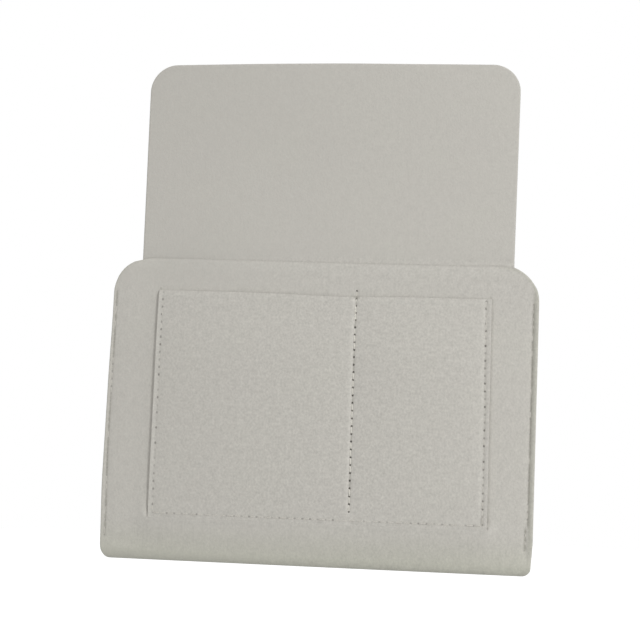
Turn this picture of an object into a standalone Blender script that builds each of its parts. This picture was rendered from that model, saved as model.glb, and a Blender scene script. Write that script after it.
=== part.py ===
"""Felt bedside caddy: one folded felt blank with a tuck flap, and a patch pocket sewn on its front.

Metres, +Z up, +X to the right as seen from the front, the front towards -Y.
The origin is the middle of the crease between flap and pocket, on the flat back face.
"""

import math

import bmesh
import bpy
from mathutils import Matrix, Vector

# Felt and fits
FELT = 0.003
CLEARANCE = 0.0003
CUT_OVERRUN = 0.005

# Folded pocket
BODY_WIDTH = 0.330
BODY_HEIGHT = 0.233
MOUTH_DROP = 0.004
MAIN_GAP = 0.007
PINCH_GAP = 0.0004
FOLD_END_GAP = 0.003
SHOULDER_RADIUS = 0.029
BOTTOM_CORNER_RADIUS = 0.006

# Tuck flap
FLAP_LEFT_INSET = 0.0212
FLAP_RIGHT_INSET = 0.0180
FLAP_HEIGHT = 0.1535
FLAP_CORNER_RADIUS = 0.023
FLAP_FLAT_HEIGHT = 0.050
FLAP_BOW = 0.004

# Patch pocket
PATCH_LEFT_MARGIN = 0.0382
PATCH_RIGHT_MARGIN = 0.0345
PATCH_DROP = 0.026
PATCH_RISE = 0.031
PATCH_PUFF = 0.006
PHONE_POCKET_WIDTH = 0.0986

# Seams
STITCH_PITCH = 0.0058
THREAD_RADIUS = 0.00035
THREAD_PROUD = 0.00015
THREAD_DIP = 0.0005
STITCH_SHOULDER = 0.0008
SIDE_SEAM_INSET = 0.005
SIDE_SEAM_RISE = 0.017
LEFT_SEAM_DROP = 0.027
RIGHT_SEAM_DROP = 0.031
PATCH_SEAM_INSET = 0.0038
PATCH_SEAM_RISE = 0.0055
PATCH_SEAM_DROP = 0.002
DIVIDER_REACH = 0.004

# How the forms are divided
FULLNESS_POWER = 6
PUFF_POWER = 4
BOW_POWER = 2
BODY_COLUMN_COUNT = 24
BACK_ROW_COUNT = 2
FOLD_ROW_COUNT = 8
FRONT_ROW_COUNT = 6
HEM_ROW_COUNT = 3
PATCH_COLUMN_COUNT = 10
PATCH_ROW_COUNT = 9
FLAP_COLUMN_COUNT = 8
FLAP_ROW_COUNT = 5
ARC_STEP_COUNT = 10
EDGE_STEP_COUNT = 4
SMOOTH_ANGLE = math.radians(40)

# Places that follow from the sizes
HALF_WIDTH = BODY_WIDTH / 2
FLAP_LEFT_X = FLAP_LEFT_INSET - HALF_WIDTH
FLAP_RIGHT_X = HALF_WIDTH - FLAP_RIGHT_INSET
FLAP_MIDDLE_X = (FLAP_LEFT_X + FLAP_RIGHT_X) / 2
FLAP_HALF_WIDTH = (FLAP_RIGHT_X - FLAP_LEFT_X) / 2
MOUTH_Z = -MOUTH_DROP
BODY_BOTTOM = MOUTH_Z - BODY_HEIGHT
CREASE_Y = -FELT / 2
BACK_TOP = -FELT / 2 - CLEARANCE
FOLD_TOP = BODY_BOTTOM + FELT + MAIN_GAP / 2
SEAM_X = HALF_WIDTH - SIDE_SEAM_INSET
LEFT_SEAM_TOP = MOUTH_Z - LEFT_SEAM_DROP
RIGHT_SEAM_TOP = MOUTH_Z - RIGHT_SEAM_DROP
SEAM_BOTTOM = BODY_BOTTOM + SIDE_SEAM_RISE
PATCH_LEFT_X = PATCH_LEFT_MARGIN - HALF_WIDTH
PATCH_RIGHT_X = HALF_WIDTH - PATCH_RIGHT_MARGIN
PATCH_TOP = MOUTH_Z - PATCH_DROP
PATCH_BOTTOM = BODY_BOTTOM + PATCH_RISE
PATCH_SEAM_LEFT = PATCH_LEFT_X + PATCH_SEAM_INSET
PATCH_SEAM_RIGHT = PATCH_RIGHT_X - PATCH_SEAM_INSET
PATCH_SEAM_TOP = PATCH_TOP - PATCH_SEAM_DROP
PATCH_SEAM_BOTTOM = PATCH_BOTTOM + PATCH_SEAM_RISE
DIVIDER_X = PATCH_SEAM_RIGHT - PHONE_POCKET_WIDTH
DIVIDER_TOP = PATCH_TOP + DIVIDER_REACH
DIVIDER_BOTTOM = PATCH_SEAM_BOTTOM + 2 * THREAD_RADIUS + CLEARANCE
THREAD_DEPTH = THREAD_RADIUS - THREAD_PROUD
GROOVE_DEPTH = THREAD_DEPTH + THREAD_DIP / 2
GROOVE_RADIUS = THREAD_DIP / 2 + THREAD_RADIUS + CLEARANCE
PINCH_X = SEAM_X - GROOVE_RADIUS


def clear_scene():
    for item in list(bpy.data.objects):
        bpy.data.objects.remove(item, do_unlink=True)


def make_collection(name):
    collection = bpy.data.collections.new(name)
    bpy.context.scene.collection.children.link(collection)
    return collection


def make_material(name, colour, roughness):
    material = bpy.data.materials.new(name)
    material.use_nodes = True
    shader = material.node_tree.nodes["Principled BSDF"]
    shader.inputs["Base Color"].default_value = (*colour, 1)
    shader.inputs["Roughness"].default_value = roughness
    shader.inputs["Metallic"].default_value = 0
    material.diffuse_color = (*colour, 1)
    return material


def mesh_object(name, shape, collection, material=None):
    """Turn a bmesh into an object whose mesh is already in its place."""
    bmesh.ops.recalc_face_normals(shape, faces=shape.faces)
    mesh = bpy.data.meshes.new(name)
    shape.to_mesh(mesh)
    shape.free()
    mesh.shade_smooth()
    mesh.set_sharp_from_angle(angle=SMOOTH_ANGLE)
    item = bpy.data.objects.new(name, mesh)
    collection.objects.link(item)
    if material:
        mesh.materials.append(material)
    return item


def mesh_from_curve(curve_object, collection):
    """Swap a curve object for a welded mesh object in the same place."""
    bpy.context.view_layer.update()
    depsgraph = bpy.context.evaluated_depsgraph_get()
    mesh = bpy.data.meshes.new_from_object(curve_object.evaluated_get(depsgraph))
    mesh.transform(curve_object.matrix_world)
    shape = bmesh.new()
    shape.from_mesh(mesh)
    bmesh.ops.remove_doubles(shape, verts=shape.verts, dist=CLEARANCE / 100)
    name = curve_object.name
    bpy.data.objects.remove(curve_object, do_unlink=True)
    bpy.data.meshes.remove(mesh)
    return mesh_object(name, shape, collection)


def hide_cutter(cutter):
    cutter.hide_render = True
    cutter.display_type = "WIRE"


def cut(item, cutter):
    modifier = item.modifiers.new(cutter.name, "BOOLEAN")
    modifier.operation = "DIFFERENCE"
    modifier.solver = "EXACT"
    modifier.object = cutter


def steps(first, last, count):
    """Evenly spaced values from first to last, both included."""
    return [first + (last - first) * index / count for index in range(count + 1)]


def clamp(value):
    return min(1, max(0, value))


def ease(share):
    share = clamp(share)
    return share * share * (3 - 2 * share)


def plateau(share, power):
    """1 in the middle and 0 at both ends, flat between them."""
    return 1 - clamp(abs(share)) ** power


# Surfaces of the felt, as places along Y
def side_gap(z):
    """Gap between the plies at the side edges, which opens towards the bottom fold."""
    share = ease((SEAM_BOTTOM - z) / (SEAM_BOTTOM - FOLD_TOP))
    return PINCH_GAP + (FOLD_END_GAP - PINCH_GAP) * share


def main_gap(x, z):
    """Gap between the back and front plies of the folded pocket."""
    edge = side_gap(z)
    return edge + (MAIN_GAP - edge) * plateau(x / PINCH_X, FULLNESS_POWER)


def back_face(x, z):
    return 0


def front_inside(x, z):
    return -FELT - main_gap(x, z)


def front_face(x, z):
    return front_inside(x, z) - FELT


def patch_puff(x, z):
    """How far the patch stands off the front ply: nothing along its seams."""
    left = PATCH_SEAM_LEFT if x < DIVIDER_X else DIVIDER_X
    right = DIVIDER_X if x < DIVIDER_X else PATCH_SEAM_RIGHT
    across = (x - (left + right) / 2) / ((right - left) / 2)
    down = (PATCH_TOP - z) / (PATCH_TOP - PATCH_SEAM_BOTTOM)
    return PATCH_PUFF * plateau(across, PUFF_POWER) * plateau(down, PUFF_POWER)


def patch_face(x, z):
    return front_face(x, z) - CLEARANCE - patch_puff(x, z) - FELT


def flap_bow(x, z):
    share = ease((z - FLAP_FLAT_HEIGHT) / (FLAP_HEIGHT - FLAP_FLAT_HEIGHT))
    return FLAP_BOW * share * plateau((x - FLAP_MIDDLE_X) / FLAP_HALF_WIDTH, BOW_POWER)


# Felt pieces
def slab(left, right, bottom, top, columns, rows, depth_at):
    """A felt plate cut into columns and rows, each point moved along Y by depth_at."""
    shape = bmesh.new()
    bmesh.ops.create_cube(shape, size=1)
    size = Vector((right - left, FELT, top - bottom))
    bmesh.ops.scale(shape, vec=size, verts=shape.verts)
    centre = Vector(((left + right) / 2, -FELT / 2, (bottom + top) / 2))
    bmesh.ops.translate(shape, vec=centre, verts=shape.verts)
    divide(shape, columns, "X")
    divide(shape, rows, "Z")
    move_along_y(shape, depth_at)
    return shape


def divide(shape, places, axis):
    """Cut the mesh at each place along an axis."""
    normal = Vector((1, 0, 0)) if axis == "X" else Vector((0, 0, 1))
    for place in places:
        parts = shape.verts[:] + shape.edges[:] + shape.faces[:]
        bmesh.ops.bisect_plane(shape, geom=parts, plane_co=normal * place, plane_no=normal)


def move_along_y(shape, depth_at):
    for vert in shape.verts:
        vert.co.y += depth_at(vert.co.x, vert.co.z)


def round_flap_outline(shape):
    """Round the two top corners and the lower edge, which turns on the crease."""
    tall = FLAP_HEIGHT - FELT / 2
    corners = [edge for edge in shape.edges
               if all(vert.co.z > tall for vert in edge.verts) and is_along(edge, "Y")]
    bmesh.ops.bevel(shape, geom=corners, offset=FLAP_CORNER_RADIUS, affect="EDGES",
                    segments=ARC_STEP_COUNT, profile=0.5, material=-1)
    lower = [edge for edge in shape.edges
             if all(vert.co.z < 0 for vert in edge.verts) and is_along(edge, "X")]
    bmesh.ops.bevel(shape, geom=lower, offset=(FELT - CLEARANCE / 2) / 2, affect="EDGES",
                    segments=EDGE_STEP_COUNT, profile=0.5, material=-1)


def is_along(edge, axis):
    run = edge.verts[1].co - edge.verts[0].co
    length = abs(run.x) if axis == "X" else abs(run.y)
    return length > run.length / 2


def make_tuck_flap(collection, material):
    shape = slab(FLAP_LEFT_X, FLAP_RIGHT_X, -FELT / 2, FLAP_HEIGHT, [], [], lambda x, z: 0)
    round_flap_outline(shape)
    divide(shape, steps(FLAP_LEFT_X, FLAP_RIGHT_X, FLAP_COLUMN_COUNT)[1:-1], "X")
    divide(shape, steps(FLAP_FLAT_HEIGHT, FLAP_HEIGHT, FLAP_ROW_COUNT)[:-1], "Z")
    move_along_y(shape, lambda x, z: -flap_bow(x, z))
    return mesh_object("tuck_flap", shape, collection, material)


def sheet_point(x, stretch, share):
    """A point midway through the folded sheet, on its back, fold or front."""
    radius = (main_gap(x, BODY_BOTTOM) + FELT) / 2
    centre_z = BODY_BOTTOM + FELT / 2 + radius
    if stretch == "back":
        return Vector((x, -FELT / 2, BACK_TOP + (centre_z - BACK_TOP) * share))
    if stretch == "fold":
        turn = math.pi * share
        y = -FELT / 2 - radius + radius * math.cos(turn)
        return Vector((x, y, centre_z - radius * math.sin(turn)))
    z = centre_z + (MOUTH_Z - centre_z) * share
    return Vector((x, front_inside(x, z) - FELT / 2, z))


def sheet_rows():
    """The sheet's rows, from the back's top edge round the fold and up to the mouth."""
    hem_share = (SEAM_BOTTOM - FOLD_TOP) / (MOUTH_Z - FOLD_TOP)
    rows = [("back", share) for share in steps(0, 1, BACK_ROW_COUNT)[:-1]]
    rows += [("fold", share) for share in steps(0, 1, FOLD_ROW_COUNT)]
    rows += [("front", share) for share in steps(0, hem_share, HEM_ROW_COUNT)[1:]]
    rows += [("front", share) for share in steps(hem_share, 1, FRONT_ROW_COUNT)[1:]]
    return rows


def column_places():
    """Columns that stand closer together towards the side seams."""
    turns = steps(-math.pi / 2, math.pi / 2, BODY_COLUMN_COUNT)
    return [-HALF_WIDTH] + [PINCH_X * math.sin(turn) for turn in turns] + [HALF_WIDTH]


def make_pocket_body(collection, material):
    rows = sheet_rows()
    columns = column_places()
    shape = bmesh.new()
    bmesh.ops.create_grid(shape, x_segments=len(columns) - 1, y_segments=len(rows) - 1, size=1)
    for vert in shape.verts:
        column = round((vert.co.x + 1) / 2 * (len(columns) - 1))
        row = round((vert.co.y + 1) / 2 * (len(rows) - 1))
        vert.co = sheet_point(columns[column], *rows[row])
    body = mesh_object("pocket_body", shape, collection, material)
    wall = body.modifiers.new("felt", "SOLIDIFY")
    wall.thickness = FELT
    wall.offset = 0
    wall.use_even_offset = True
    return body


def make_patch_pocket(collection, material):
    halves = [(PATCH_SEAM_LEFT, DIVIDER_X), (DIVIDER_X, PATCH_SEAM_RIGHT)]
    columns = [PATCH_SEAM_RIGHT]
    for left, right in halves:
        middle = (left + right) / 2
        reach = (right - left) / 2
        turns = steps(-math.pi / 2, math.pi / 2, PATCH_COLUMN_COUNT)
        columns += [middle + reach * math.sin(turn) for turn in turns[:-1]]
    turns = steps(0, math.pi / 2, PATCH_ROW_COUNT)
    tall = PATCH_TOP - PATCH_SEAM_BOTTOM
    rows = [PATCH_TOP - tall * math.sin(turn) for turn in turns[1:]]
    shape = slab(PATCH_LEFT_X, PATCH_RIGHT_X, PATCH_BOTTOM, PATCH_TOP, columns, rows,
                 lambda x, z: patch_face(x, z) + FELT)
    return mesh_object("patch_pocket", shape, collection, material)


# Waste that is cut from the folded sheet's outline
def arc_points(centre_x, centre_z, radius, start, end):
    turns = steps(start, end, ARC_STEP_COUNT)
    return [(centre_x + radius * math.cos(turn), centre_z + radius * math.sin(turn))
            for turn in turns]


def outline_cutter(name, points, front_y, back_y, collection):
    """A flat outline in X and Z, thick enough to cut from front_y to back_y."""
    curve = bpy.data.curves.new(name, "CURVE")
    curve.dimensions = "2D"
    curve.fill_mode = "BOTH"
    curve.extrude = (back_y - front_y) / 2
    spline = curve.splines.new("POLY")
    spline.points.add(len(points) - 1)
    for point, (x, z) in zip(spline.points, points):
        point.co = (x, z, 0, 1)
    spline.use_cyclic_u = True
    item = bpy.data.objects.new(name, curve)
    item.location.y = (front_y + back_y) / 2
    item.rotation_euler = (math.pi / 2, 0, 0)
    collection.objects.link(item)
    cutter = mesh_from_curve(item, collection)
    hide_cutter(cutter)
    return cutter


def shoulder_waste(name, side, lowest_x, front_y, back_y, collection):
    """What lies outside a rounded shoulder, from lowest_x out past the side edge."""
    top = MOUTH_Z + CLEARANCE
    centre_x = HALF_WIDTH + CLEARANCE - SHOULDER_RADIUS
    centre_z = top - SHOULDER_RADIUS
    start = math.acos(clamp((lowest_x - centre_x) / SHOULDER_RADIUS))
    arc = arc_points(centre_x, centre_z, SHOULDER_RADIUS, start, 0)
    far_x = HALF_WIDTH + CUT_OVERRUN
    high = BACK_TOP + CUT_OVERRUN
    points = [(lowest_x, high), (lowest_x, arc[0][1])] + arc[1:]
    points += [(far_x, centre_z), (far_x, high)]
    places = [(side * x, z) for x, z in points]
    return outline_cutter(name, places, front_y, back_y, collection)


def round_shoulders(body, collection):
    """Round both plies; the back ply keeps the neck that carries the flap."""
    between_y = -FELT - PINCH_GAP / 2
    front_y = -2 * FELT - MAIN_GAP - CUT_OVERRUN
    front_x = HALF_WIDTH + CLEARANCE - SHOULDER_RADIUS
    for side, word, neck_x in ((-1, "left", -FLAP_LEFT_X), (1, "right", FLAP_RIGHT_X)):
        cut(body, shoulder_waste("front_shoulder_" + word, side, front_x,
                                 front_y, between_y, collection))
        cut(body, shoulder_waste("back_shoulder_" + word, side, neck_x,
                                 between_y, CUT_OVERRUN, collection))


def round_bottom_corners(body, collection):
    low = BODY_BOTTOM - CLEARANCE
    centre_x = HALF_WIDTH + CLEARANCE - BOTTOM_CORNER_RADIUS
    centre_z = low + BOTTOM_CORNER_RADIUS
    arc = arc_points(centre_x, centre_z, BOTTOM_CORNER_RADIUS, 0, -math.pi / 2)
    far_x = HALF_WIDTH + CUT_OVERRUN
    deep = BODY_BOTTOM - CUT_OVERRUN
    front_y = -2 * FELT - MAIN_GAP - CUT_OVERRUN
    points = [(far_x, centre_z)] + arc + [(centre_x, deep), (far_x, deep)]
    for side, word in ((-1, "left"), (1, "right")):
        places = [(side * x, z) for x, z in points]
        cut(body, outline_cutter("bottom_corner_" + word, places, front_y, CUT_OVERRUN,
                                 collection))


# Seams
def tube(name, points, radius, resolution, collection, material=None):
    curve = bpy.data.curves.new(name, "CURVE")
    curve.dimensions = "3D"
    curve.bevel_depth = radius
    curve.bevel_resolution = resolution
    curve.use_fill_caps = True
    spline = curve.splines.new("POLY")
    spline.points.add(len(points) - 1)
    for point, place in zip(spline.points, points):
        point.co = (*place, 1)
    item = bpy.data.objects.new(name, curve)
    collection.objects.link(item)
    if material:
        curve.materials.append(material)
    return item


def holes_along(start, end):
    """Needle holes from start to end, a whole number of stitches apart."""
    run = Vector(end) - Vector(start)
    count = max(1, round(run.length / STITCH_PITCH))
    return [Vector(start) + run * index / count for index in range(count + 1)]


def sunk(place, depth, face, outward):
    """A point below a felt face; outward is -1 on faces that look forward."""
    x, z = place
    return Vector((x, face(x, z) - outward * depth, z))


def thread_points(corners, face, outward):
    """A thread that dives at each hole and lies on the felt between two holes."""
    points = [sunk(corners[0], THREAD_DEPTH + THREAD_DIP, face, outward)]
    for start, end in zip(corners, corners[1:]):
        holes = holes_along(start, end)
        for hole, after in zip(holes, holes[1:]):
            lead = (after - hole).normalized() * STITCH_SHOULDER
            points.append(sunk(hole + lead, THREAD_DEPTH, face, outward))
            points.append(sunk(after - lead, THREAD_DEPTH, face, outward))
            points.append(sunk(after, THREAD_DEPTH + THREAD_DIP, face, outward))
    return points


def groove_points(corners, face, outward):
    """The line of the groove that a seam presses into the felt."""
    places = []
    for start, end in zip(corners, corners[1:]):
        places += holes_along(start, end)[:-1]
    places.append(Vector(corners[-1]))
    places[0] += (places[0] - places[1]).normalized() * 2 * THREAD_RADIUS
    places[-1] += (places[-1] - places[-2]).normalized() * 2 * THREAD_RADIUS
    return [sunk(place, GROOVE_DEPTH, face, outward) for place in thinned(places)]


def thinned(places):
    """Every other place of a run, with its ends and turns kept."""
    kept = [places[0]]
    for index in range(1, len(places) - 1):
        before = (places[index] - places[index - 1]).normalized()
        after = (places[index + 1] - places[index]).normalized()
        if index % 2 == 0 or before.dot(after) < 0.5:
            kept.append(places[index])
    return kept + [places[-1]]


def groove(name, corners, face, outward, collection):
    sides = 2
    points = groove_points(corners, face, outward)
    cutter = mesh_from_curve(tube(name, points, GROOVE_RADIUS, sides, collection), collection)
    hide_cutter(cutter)
    return cutter


def sew(name, corners, face, outward, felt, collection, cutters, material):
    """Lay one thread along a seam and cut the groove it sits in."""
    points = thread_points(corners, face, outward)
    thread = tube(name, points, THREAD_RADIUS, 0, collection, material)
    cut(felt, groove(name + "_groove", corners, face, outward, cutters))
    return thread


def make_side_seams(body, collection, cutters, material):
    threads = []
    for side, word, top in ((-1, "left", LEFT_SEAM_TOP), (1, "right", RIGHT_SEAM_TOP)):
        corners = [(side * SEAM_X, top), (side * SEAM_X, SEAM_BOTTOM)]
        threads.append(sew(word + "_seam_needle_thread", corners, front_face, -1,
                           body, collection, cutters, material))
        threads.append(sew(word + "_seam_bobbin_thread", corners, back_face, 1,
                           body, collection, cutters, material))
    return threads


def make_patch_seams(body, patch, collection, cutters, material):
    corners = [(PATCH_SEAM_LEFT, PATCH_SEAM_TOP), (PATCH_SEAM_LEFT, PATCH_SEAM_BOTTOM),
               (PATCH_SEAM_RIGHT, PATCH_SEAM_BOTTOM), (PATCH_SEAM_RIGHT, PATCH_SEAM_TOP)]
    needle = sew("patch_seam_needle_thread", corners, patch_face, -1,
                 patch, collection, cutters, material)
    bobbin = sew("patch_seam_bobbin_thread", corners, front_inside, 1,
                 body, collection, cutters, material)
    return [needle, bobbin]


def divider_needle_points(holes):
    """The divider's thread starts in the body above the patch and steps up onto it."""
    over_edge = (DIVIDER_X, PATCH_TOP + THREAD_RADIUS + CLEARANCE)
    points = [sunk(holes[0], THREAD_DEPTH + THREAD_DIP, front_face, -1),
              sunk((DIVIDER_X, DIVIDER_TOP - STITCH_SHOULDER), THREAD_DEPTH, front_face, -1),
              sunk(over_edge, THREAD_DEPTH, patch_face, -1),
              sunk((DIVIDER_X, holes[1].y + STITCH_SHOULDER), THREAD_DEPTH, patch_face, -1)]
    return points + thread_points([holes[1], holes[-1]], patch_face, -1)


def make_divider_seam(body, patch, collection, cutters, material):
    start = (DIVIDER_X, DIVIDER_TOP)
    end = (DIVIDER_X, DIVIDER_BOTTOM)
    edge = (DIVIDER_X, PATCH_TOP)
    points = divider_needle_points(holes_along(start, end))
    needle = tube("divider_needle_thread", points, THREAD_RADIUS, 0, collection, material)
    cut(body, groove("divider_start_groove", [start, edge], front_face, -1, cutters))
    cut(patch, groove("divider_needle_groove", [edge, end], patch_face, -1, cutters))
    bobbin = sew("divider_bobbin_thread", [start, end], front_inside, 1,
                 body, collection, cutters, material)
    return [needle, bobbin]


def hang_on_crease(pieces, collection):
    """Parent the hanging pieces to an empty on the crease that they swing about."""
    crease = bpy.data.objects.new("flap_crease", None)
    crease.location = (0, CREASE_Y, 0)
    collection.objects.link(crease)
    for piece in pieces:
        piece.parent = crease
        piece.matrix_parent_inverse = Matrix.Translation(crease.location).inverted()


def main():
    clear_scene()
    parts = make_collection("felt_bedside_caddy")
    cutters = make_collection("cutters")
    felt = make_material("warm_grey_felt", (0.50, 0.485, 0.445), 0.95)
    patch_felt = make_material("patch_felt", (0.51, 0.495, 0.455), 0.95)
    flap_felt = make_material("flap_felt", (0.48, 0.465, 0.43), 0.95)
    thread = make_material("pale_thread", (0.66, 0.64, 0.59), 0.7)
    make_tuck_flap(parts, flap_felt)
    body = make_pocket_body(parts, felt)
    patch = make_patch_pocket(parts, patch_felt)
    round_shoulders(body, cutters)
    round_bottom_corners(body, cutters)
    threads = make_side_seams(body, parts, cutters, thread)
    threads += make_patch_seams(body, patch, parts, cutters, thread)
    threads += make_divider_seam(body, patch, parts, cutters, thread)
    hang_on_crease([body, patch] + threads, parts)


main()
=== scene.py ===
import math

import bmesh
import bpy
from mathutils import Matrix, Vector, noise


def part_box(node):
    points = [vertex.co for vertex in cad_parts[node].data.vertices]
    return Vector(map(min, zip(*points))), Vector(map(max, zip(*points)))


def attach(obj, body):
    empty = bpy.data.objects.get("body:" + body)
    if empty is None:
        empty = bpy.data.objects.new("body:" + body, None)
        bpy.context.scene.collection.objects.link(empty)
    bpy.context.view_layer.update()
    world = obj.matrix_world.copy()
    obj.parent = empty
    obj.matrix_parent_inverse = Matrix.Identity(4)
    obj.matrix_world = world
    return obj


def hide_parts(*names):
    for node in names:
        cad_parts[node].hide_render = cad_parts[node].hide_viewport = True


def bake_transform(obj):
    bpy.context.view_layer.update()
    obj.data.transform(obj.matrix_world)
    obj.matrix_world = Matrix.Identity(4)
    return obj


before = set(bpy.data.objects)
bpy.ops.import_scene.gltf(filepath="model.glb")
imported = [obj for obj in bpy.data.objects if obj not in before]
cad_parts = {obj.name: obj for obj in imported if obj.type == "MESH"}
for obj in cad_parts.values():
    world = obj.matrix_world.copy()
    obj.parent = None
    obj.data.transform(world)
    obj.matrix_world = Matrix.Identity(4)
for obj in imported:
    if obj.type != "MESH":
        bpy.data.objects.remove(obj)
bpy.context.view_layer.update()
print("frame loaded:", len(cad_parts), "nodes")


# Camera, as in the photograph: low, to the right, looking up to the left
cameraSpec = {
    "lens": 67.5,
    "place": (0.1083, -0.9165, -0.1420),
    "turnLeft": 6.79,
    "tipUp": 5.72,
    "roll": 1.93,
}


def newObject(name, data):
    item = bpy.data.objects.new(name, data)
    bpy.context.scene.collection.objects.link(item)
    return item


def makeCamera(spec):
    data = bpy.data.cameras.new("photoCamera")
    data.lens = spec["lens"]
    camera = newObject("photoCamera", data)
    turn = Matrix.Rotation(math.radians(spec["turnLeft"]), 4, "Z")
    tip = Matrix.Rotation(math.radians(90 + spec["tipUp"]), 4, "X")
    roll = Matrix.Rotation(math.radians(spec["roll"]), 4, "Z")
    camera.matrix_world = Matrix.Translation(spec["place"]) @ turn @ tip @ roll
    bpy.context.scene.camera = camera


makeCamera(cameraSpec)
print("camera placed")


# Small helpers for numbers
def clamp(value, low=0, high=1):
    return min(high, max(low, value))


def ease(share):
    share = clamp(share)
    return share * share * (3 - 2 * share)


def risen(place, low, high):  # 0 at low and 1 at high, eased between; high may be the smaller
    return ease((place - low) / (high - low))


def mix(first, second, share):
    return first + (second - first) * share


def spread(first, last, step):  # even places about one step apart, both ends included
    count = max(1, round(abs(last - first) / step))
    return [mix(first, last, index / count) for index in range(count + 1)]


def plateau(share, power):  # 1 in the middle, 0 at both ends
    return 1 - clamp(abs(share)) ** power


def chance(step, seed):  # a fixed number from 0 to 1 for each stitch of a seam
    cellMiddle = 0.5
    return abs(noise.cell(Vector((math.floor(step) + cellMiddle, seed, cellMiddle))))


# The felt blank: its outline, how full the pocket stands and how soft its cut edges are.
# A pair of numbers is for the left and the right side; upperReach is a span of heights.
blank = {
    "felt": 0.003,
    "mouthDrop": 0.0045,
    "gap": 0.0044,
    "mouthGap": 0.0001,
    "mouthReach": 0.080,
    "fullness": (3, 4),
    "pinch": 0.0004,
    "lipFlare": (0.0005, 0.0012),
    "shoulderGap": 0.0003,
    "foldEndGap": 0.0026,
    "foldHeight": 0.0050,
    "swell": 0.0022,
    "swellStep": 0.0016,
    "swellRise": 0.024,
    "swellTurn": 0.004,
    "swellInside": 0.003,
    "swellReach": 0.015,
    "shoulderRadius": (0.0275, 0.029),
    "flapCornerRadius": 0.0217,
    "cornerWidth": (0.0070, 0.0050),
    "cornerHeight": (0.0165, 0.0050),
    "cornerTaper": (0.0015, 0.0014),
    "taperHeight": (0.065, 0.026),
    "sideTrim": (0.0003, 0.0),
    "upperTrim": (0.0004, 0.0),
    "upperReach": (-0.100, -0.050),
    "flapDrop": 0.0013,
    "flapTrim": (0.0007, 0.0005),
    "flapFlare": (0.0062, 0.0145),
    "bow": 0.0042,
    "bowStart": 0.050,
    "bowPower": 2,
    "edgeRound": 0.0012,
    "rimShare": 0.45,
    "mouthRimShare": 0.60,
    "mouthThin": 0.00168,
    "mouthThinReach": 0.0090,
    "edgeColumns": (0, 0.0004, 0.0009, 0.0018),
    "seamColumns": (-0.0024, -0.0014, -0.0007, 0, 0.0007, 0.0014, 0.0021, 0.0028),
    "patchColumns": (-0.0012, -0.0006, 0, 0.0006, 0.0012),
    "patchEdgeColumns": (-0.0040, -0.0020, -0.0008, 0.0005, 0.0012, 0.0019),
    "leastColumn": 0.0003,
    "mouthRows": (0.0004, 0.0009, 0.0016, 0.0028, 0.0044, 0.0064),
    "patchTopRow": 0.0007,
    "rowsPerStitch": 3,
    "columnStep": 0.0042,
    "rowStep": 0.0044,
    "creaseStep": 0.0011,
    "creaseReach": 0.0066,
    "blendTop": 0.005,
    "cornerStep": math.radians(7.5),
    "foldStep": math.radians(11.25),
    "wander": 0.00025,
    "wanderSize": 0.070,
    "wanderPower": 2,
    "flapSeed": 1.3,
    "frontSeed": 3.7,
}

# How the soft felt has settled: it leans with height, and the mouths and the flap's top
# edge drop a little to the right, and the divider's seam pulls the patch's top edge down
settling = {
    "level": -0.085,
    "flapLean": 0.0045,
    "middleLean": 0.0030,
    "sideLean": 0.0117,
    "sideReach": (0.130, 0.160),
    "leanFade": 0.040,
    "sag": 0.0007,
    "sagTilt": 0.011,
    "sagReach": (-0.100, -0.035),
    "sagPower": 6,
    "topDrop": 0.0005,
    "topDropReach": (0.0, 0.080),
    "pull": 0.0011,
    "pullAside": -0.0135,
    "pullWidth": 0.037,
    "pullDepth": 0.020,
    "pullAbove": 0.006,
}

# How far some seams and the patch's right edge strayed from their marks when it was sewn
strayed = {
    "leftSide": -0.0017,
    "rightSide": 0.0008,
    "patchLeft": -0.0003,
    "divider": -0.0006,
    "patchRight": -0.0007,
    "patchEdge": -0.0004,
    "patchFoot": -0.0004,
    "footSeam": -0.0006,
}

felt = blank["felt"]
bodyLow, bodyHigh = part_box("pocket_body")
flapLow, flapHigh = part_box("tuck_flap")
patchLow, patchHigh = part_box("patch_pocket")
halfWidth = bodyHigh.x
bodyBottom = bodyLow.z
mouthZ = -blank["mouthDrop"]
foldTop = bodyBottom + felt / 2 + blank["foldHeight"]
flapTop = flapHigh.z - blank["flapDrop"]
flapMiddle = (flapLow.x + flapHigh.x) / 2
flapHalf = (flapHigh.x - flapLow.x) / 2

# Where the seams run, read from the frame's threads
stitchPitch = 0.0058
threadRadius = 0.00035
leftThreadLow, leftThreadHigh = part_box("left_seam_needle_thread")
rightThreadLow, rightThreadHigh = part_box("right_seam_needle_thread")
patchThreadLow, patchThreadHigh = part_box("patch_seam_needle_thread")
dividerLow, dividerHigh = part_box("divider_needle_thread")
markedSeamX = (rightThreadLow.x + rightThreadHigh.x) / 2
rightSeamX = markedSeamX + strayed["rightSide"]
sideSeams = (markedSeamX - strayed["leftSide"], rightSeamX)  # out from the middle
sideSeamTop = leftThreadHigh.z
sideSeamBottom = leftThreadLow.z
patchSeamLeft = patchThreadLow.x + threadRadius + strayed["patchLeft"]
patchSeamRight = patchThreadHigh.x - threadRadius + strayed["patchRight"]
patchSeamTop = patchThreadHigh.z
patchSeamBottom = patchThreadLow.z + threadRadius
dividerX = (dividerLow.x + dividerHigh.x) / 2 + strayed["divider"]
patchLeft = patchLow.x + strayed["patchLeft"]
patchRight = patchHigh.x + strayed["patchEdge"]
patchTop = patchHigh.z
patchBottom = patchSeamBottom - (patchSeamLeft - patchLeft) + strayed["patchFoot"]

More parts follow.
